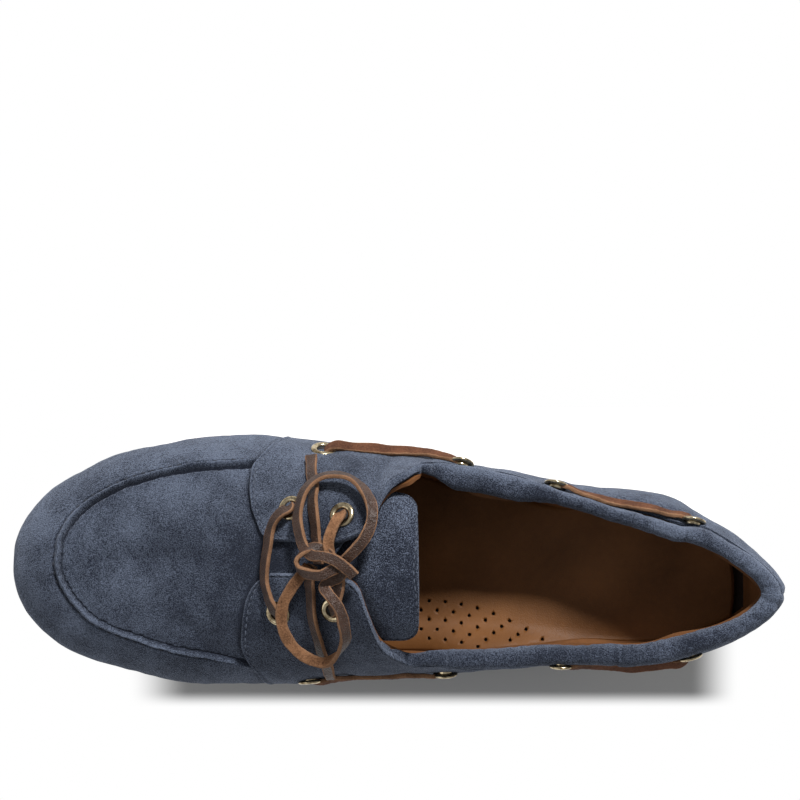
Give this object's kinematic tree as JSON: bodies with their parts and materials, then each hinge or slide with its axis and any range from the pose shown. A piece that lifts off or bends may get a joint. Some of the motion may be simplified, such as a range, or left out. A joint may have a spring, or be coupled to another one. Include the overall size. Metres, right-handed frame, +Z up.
{
  "type": "loafer shoe",
  "caption": "Right low suede boat shoe with a raised apron seam, padded collar, leather lace tied in a bow, and a moulded sole with a low heel.",
  "frame": {"origin": "on the floor under the middle of the shoe's length and of its width", "axes": "+Z up, +Y towards the back of the heel with the toe at -Y, +X towards the medial (inner) side of this right shoe"},
  "size_m": [0.0852, 0.256, 0.0765],
  "materials": {
    "blue_suede": "matte nap",
    "sole_rubber": "matt",
    "tan_leather": "smooth, matt",
    "lace_leather": "waxed",
    "brass": "polished"
  },
  "bodies": {
    "root": {"apron_seam": "blue_suede", "collar": "blue_suede", "eyelet_front_lateral": "brass", "eyelet_front_medial": "brass", "eyelet_lateral_front_aft": "brass", "eyelet_lateral_front_fore": "brass", "eyelet_lateral_rear_aft": "brass", "eyelet_lateral_rear_fore": "brass", "eyelet_medial_front_aft": "brass", "eyelet_medial_front_fore": "brass", "eyelet_medial_rear_aft": "brass", "eyelet_medial_rear_fore": "brass", "eyelet_rear_lateral": "brass", "eyelet_rear_medial": "brass", "insole": "tan_leather", "lace_bar": "lace_leather", "lace_end_lateral": "lace_leather", "lace_end_medial": "lace_leather", "lace_knot": "lace_leather", "lace_loop_lateral": "lace_leather", "lace_loop_medial": "lace_leather", "lace_rise_lateral": "lace_leather", "lace_rise_medial": "lace_leather", "outsole": "sole_rubber", "quarter_lateral": "blue_suede", "quarter_medial": "blue_suede", "side_lace_lateral_front": "lace_leather", "side_lace_lateral_rear": "lace_leather", "side_lace_medial_front": "lace_leather", "side_lace_medial_rear": "lace_leather", "tongue": "blue_suede", "upper": "blue_suede"}
  },
  "joints": []
}
